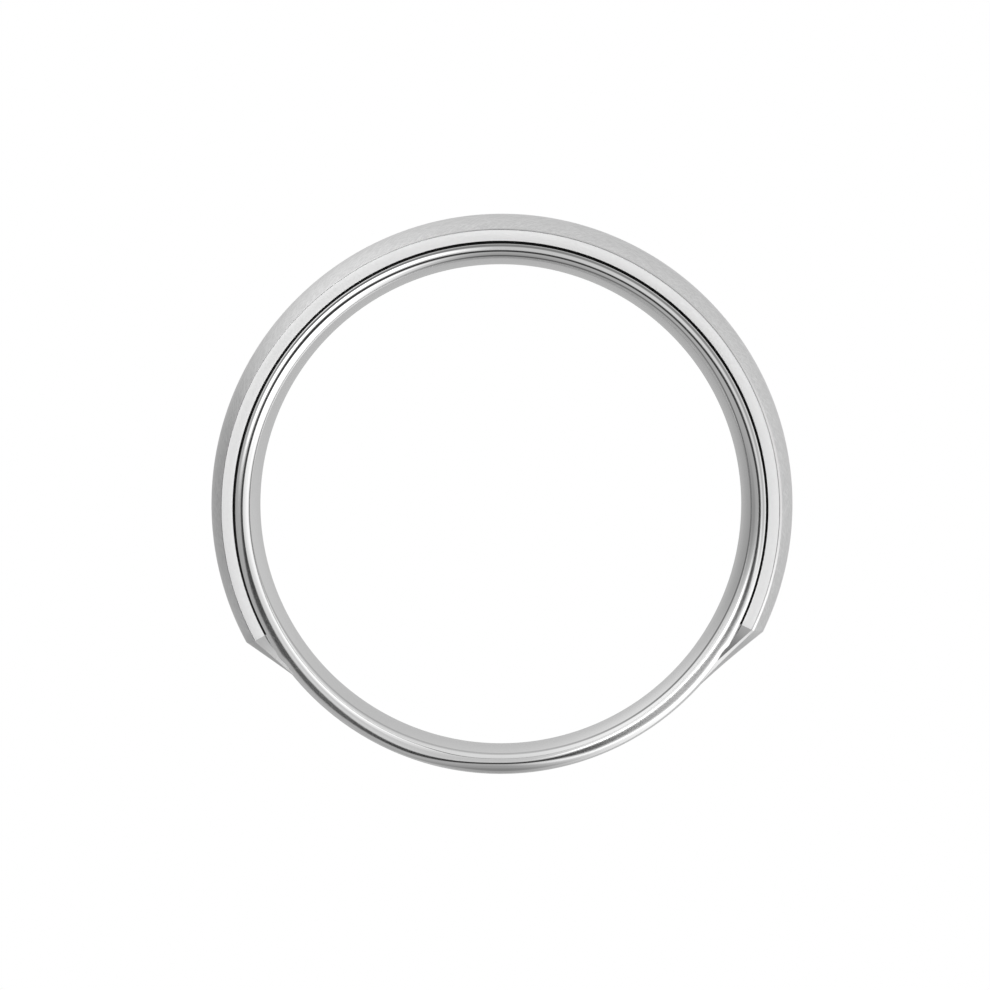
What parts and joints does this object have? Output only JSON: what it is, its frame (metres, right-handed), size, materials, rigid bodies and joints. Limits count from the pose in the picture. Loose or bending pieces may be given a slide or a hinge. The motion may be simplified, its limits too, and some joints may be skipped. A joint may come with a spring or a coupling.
{
  "type": "wedding band",
  "caption": "White-metal wedding band: polished comfort-fit inner band with a raised brushed saddle, flat satin sides and ramped shoulders.",
  "frame": {"origin": "centre of the finger hole, half way through the ring's width", "axes": "+Y through the finger hole from the front side to the rear side, +Z from the centre to the middle of the raised saddle, +X to the right when the front side is looked at"},
  "size_m": [0.024, 0.006, 0.0231],
  "materials": {
    "polished_metal": "polished",
    "brushed_metal": "satin",
    "satin_metal": "satin"
  },
  "bodies": {
    "root": {"inner_band": "polished_metal", "crown_plate": "brushed_metal", "front_rail": "satin_metal", "rear_rail": "satin_metal", "left_shoulder": "brushed_metal", "right_shoulder": "brushed_metal"}
  },
  "joints": []
}
